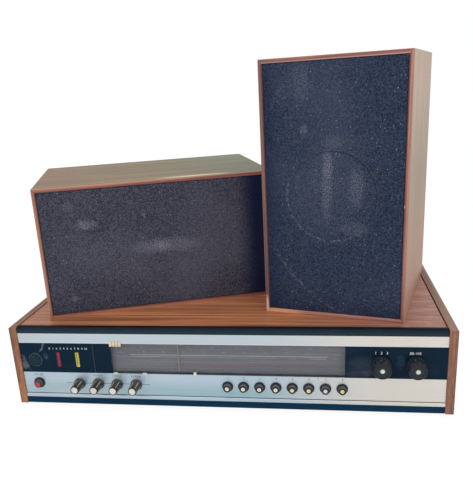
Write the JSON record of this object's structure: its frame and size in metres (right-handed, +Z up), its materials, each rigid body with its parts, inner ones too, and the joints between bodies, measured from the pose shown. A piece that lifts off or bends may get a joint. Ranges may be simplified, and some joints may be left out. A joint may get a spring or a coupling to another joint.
{
  "type": "music centre",
  "caption": "Stereo radio receiver in a veneered case with a dial window, push-buttons and knobs, with two boxed loudspeakers standing on top of it.",
  "frame": {"origin": "on the surface that the feet stand on, under the middle of the receiver", "axes": "+X to the right along the facia, -Y out of the facia, +Z up"},
  "size_m": [0.5737, 0.348, 0.4176],
  "materials": {
    "case_veneer": "satin walnut-coloured veneer",
    "speaker_veneer": "satin walnut-coloured veneer",
    "board": "raw chipboard",
    "hardboard": "pressed fibreboard",
    "facia_aluminium": "fine brushed, anodised",
    "black_moulding": "glossy moulded",
    "black_plastic": "satin moulded",
    "knob_plastic": "polished moulded",
    "clear_glass": "clear, polished",
    "lens_plastic": "tinted clear",
    "scale_plastic": "grey, printed",
    "pale_plastic": "cream moulded",
    "pointer_plastic": "orange moulded",
    "chassis_steel": "passivated sheet",
    "base_paint": "dark grey enamel",
    "rubber": "moulded",
    "screw_steel": "zinc plated",
    "heat_sink_aluminium": "black anodised",
    "transformer_iron": "laminated and varnished",
    "circuit_board": "bonded paper board",
    "cord_fibre": "braided thread",
    "grille_cloth": "coarse plain weave",
    "driver_steel": "pressed steel",
    "cone_paper": "matt black paper pulp"
  },
  "bodies": {
    "receiver": {"side_panel_left": "case_veneer", "side_panel_right": "case_veneer", "top_panel": "case_veneer", "feet": "rubber", "base_plate": "base_paint", "back_panel": "hardboard", "chassis": "chassis_steel", "facia_frame": "black_moulding", "facia_strips": "facia_aluminium", "control_plate": "facia_aluminium", "indicator_panel": "black_moulding", "indicator_lenses": "lens_plastic", "badge_disc": "black_plastic", "dial_glass": "clear_glass", "glass_clips": "pale_plastic", "scale_plate": "scale_plastic", "dial_lamps": "black_plastic", "button_bezels": "black_plastic", "switch_bank": "black_plastic", "potentiometers": "screw_steel", "am_capacitor": "heat_sink_aluminium", "fm_tuner_box": "chassis_steel", "pointer_rails": "screw_steel", "dial_cords": "cord_fibre", "mains_transformer": "transformer_iron", "heat_sink": "heat_sink_aluminium", "circuit_boards": "circuit_board", "rear_sockets": "black_plastic", "case_screws": "screw_steel"},
    "power_button_body": {"power_button": "black_plastic"},
    "am_drum_body": {"am_drum": "pale_plastic"},
    "fm_drum_body": {"fm_drum": "pale_plastic"},
    "am_pointer_body": {"am_pointer": "pointer_plastic"},
    "fm_pointer_body": {"fm_pointer": "pointer_plastic"},
    "am_tuning_knob_body": {"am_tuning_knob": "knob_plastic"},
    "fm_tuning_knob_body": {"fm_tuning_knob": "knob_plastic"},
    "push_button_1_body": {"push_button_1": "black_plastic"},
    "push_button_2_body": {"push_button_2": "black_plastic"},
    "push_button_3_body": {"push_button_3": "black_plastic"},
    "push_button_4_body": {"push_button_4": "black_plastic"},
    "push_button_5_body": {"push_button_5": "black_plastic"},
    "push_button_6_body": {"push_button_6": "black_plastic"},
    "push_button_7_body": {"push_button_7": "black_plastic"},
    "push_button_8_body": {"push_button_8": "black_plastic"},
    "volume_knob_body": {"volume_knob": "knob_plastic"},
    "balance_knob_body": {"balance_knob": "knob_plastic"},
    "treble_knob_body": {"treble_knob": "knob_plastic"},
    "bass_knob_body": {"bass_knob": "knob_plastic"},
    "speaker_left": {"speaker_left_cabinet": "speaker_veneer", "speaker_left_back": "hardboard", "speaker_left_baffle": "board", "speaker_left_cloth": "grille_cloth", "speaker_left_woofer_frame": "driver_steel"},
    "speaker_left_cone": {"speaker_left_woofer_cone": "cone_paper"},
    "speaker_right": {"speaker_right_cabinet": "speaker_veneer", "speaker_right_back": "hardboard", "speaker_right_baffle": "board", "speaker_right_cloth": "grille_cloth", "speaker_right_woofer_frame": "driver_steel"},
    "speaker_right_cone": {"speaker_right_woofer_cone": "cone_paper"}
  },
  "joints": [
    {"name": "power_button_travel", "type": "slide", "parent": "receiver", "child": "power_button_body", "axis": [0, 1, 0], "range_m": [0, 0.0045], "stiffness_N_per_m": 300, "springref_m": -0.003},
    {"name": "push_button_1_travel", "type": "slide", "parent": "receiver", "child": "push_button_1_body", "axis": [0, 1, 0], "range_m": [0, 0.0045], "stiffness_N_per_m": 300, "springref_m": -0.003},
    {"name": "push_button_2_travel", "type": "slide", "parent": "receiver", "child": "push_button_2_body", "axis": [0, 1, 0], "range_m": [0, 0.0045], "stiffness_N_per_m": 300, "springref_m": -0.003},
    {"name": "push_button_3_travel", "type": "slide", "parent": "receiver", "child": "push_button_3_body", "axis": [0, 1, 0], "range_m": [0, 0.0045], "stiffness_N_per_m": 300, "springref_m": -0.003},
    {"name": "push_button_4_travel", "type": "slide", "parent": "receiver", "child": "push_button_4_body", "axis": [0, 1, 0], "range_m": [0, 0.0045], "stiffness_N_per_m": 300, "springref_m": -0.003},
    {"name": "push_button_5_travel", "type": "slide", "parent": "receiver", "child": "push_button_5_body", "axis": [0, 1, 0], "range_m": [0, 0.0045], "stiffness_N_per_m": 300, "springref_m": -0.003},
    {"name": "push_button_6_travel", "type": "slide", "parent": "receiver", "child": "push_button_6_body", "axis": [0, 1, 0], "range_m": [0, 0.0045], "stiffness_N_per_m": 300, "springref_m": -0.003},
    {"name": "push_button_7_travel", "type": "slide", "parent": "receiver", "child": "push_button_7_body", "axis": [0, 1, 0], "range_m": [0, 0.0045], "stiffness_N_per_m": 300, "springref_m": -0.003},
    {"name": "push_button_8_travel", "type": "slide", "parent": "receiver", "child": "push_button_8_body", "axis": [0, 1, 0], "range_m": [0, 0.0045], "stiffness_N_per_m": 300, "springref_m": -0.003},
    {"name": "volume_knob_turn", "type": "hinge", "parent": "receiver", "child": "volume_knob_body", "pos_m": [-0.1888, -0.1385, 0.0353], "axis": [0, 1, 0], "range_deg": [-140, 140]},
    {"name": "balance_knob_turn", "type": "hinge", "parent": "receiver", "child": "balance_knob_body", "pos_m": [-0.1635, -0.1385, 0.0353], "axis": [0, 1, 0], "range_deg": [-140, 140]},
    {"name": "treble_knob_turn", "type": "hinge", "parent": "receiver", "child": "treble_knob_body", "pos_m": [-0.1382, -0.1385, 0.0353], "axis": [0, 1, 0], "range_deg": [-140, 140]},
    {"name": "bass_knob_turn", "type": "hinge", "parent": "receiver", "child": "bass_knob_body", "pos_m": [-0.1129, -0.1385, 0.0353], "axis": [0, 1, 0], "range_deg": [-140, 140]},
    {"name": "am_tuning_turn", "type": "hinge", "parent": "receiver", "child": "am_tuning_knob_body", "pos_m": [0.19, -0.1385, 0.068], "axis": [0, 1, 0], "range_deg": [-1452.6, 3066.5]},
    {"name": "am_pointer_travel", "type": "slide", "parent": "receiver", "child": "am_pointer_body", "axis": [1, 0, 0], "range_m": [-0.0902, 0.1902]},
    {"name": "am_drum_turn", "type": "hinge", "parent": "receiver", "child": "am_drum_body", "pos_m": [-0.1, -0.1215, 0.075], "axis": [0, 1, 0], "range_deg": [-215.4, 454.1]},
    {"name": "fm_tuning_turn", "type": "hinge", "parent": "receiver", "child": "fm_tuning_knob_body", "pos_m": [0.2297, -0.1385, 0.068], "axis": [0, 1, 0], "range_deg": [-4519.1, 0]},
    {"name": "fm_pointer_travel", "type": "slide", "parent": "receiver", "child": "fm_pointer_body", "axis": [1, 0, 0], "range_m": [-0.0002, 0.2802]},
    {"name": "fm_drum_turn", "type": "hinge", "parent": "receiver", "child": "fm_drum_body", "pos_m": [0.07, -0.1155, 0.076], "axis": [0, 1, 0], "range_deg": [-669, 0.5]},
    {"name": "speaker_left_lift", "type": "slide", "parent": "receiver", "child": "speaker_left", "axis": [0, 0, 1], "range_m": [0, 0.35]},
    {"name": "speaker_left_cone_travel", "type": "slide", "parent": "speaker_left", "child": "speaker_left_cone", "axis": [-0.3173, 0.9483, 0], "range_m": [-0.0025, 0.0025], "stiffness_N_per_m": 1500},
    {"name": "speaker_right_lift", "type": "slide", "parent": "receiver", "child": "speaker_right", "axis": [0, 0, 1], "range_m": [0, 0.35]},
    {"name": "speaker_right_cone_travel", "type": "slide", "parent": "speaker_right", "child": "speaker_right_cone", "axis": [0.2436, 0.9699, 0], "range_m": [-0.0025, 0.0025], "stiffness_N_per_m": 1500}
  ],
  "couplings": [
    {"joint": "am_pointer_travel", "follows": "am_tuning_turn", "m_per_rad": 0.00355},
    {"joint": "am_drum_turn", "follows": "am_tuning_turn", "ratio": 0.14792},
    {"joint": "fm_pointer_travel", "follows": "fm_tuning_turn", "m_per_rad": -0.00355},
    {"joint": "fm_drum_turn", "follows": "fm_tuning_turn", "ratio": 0.14792}
  ]
}
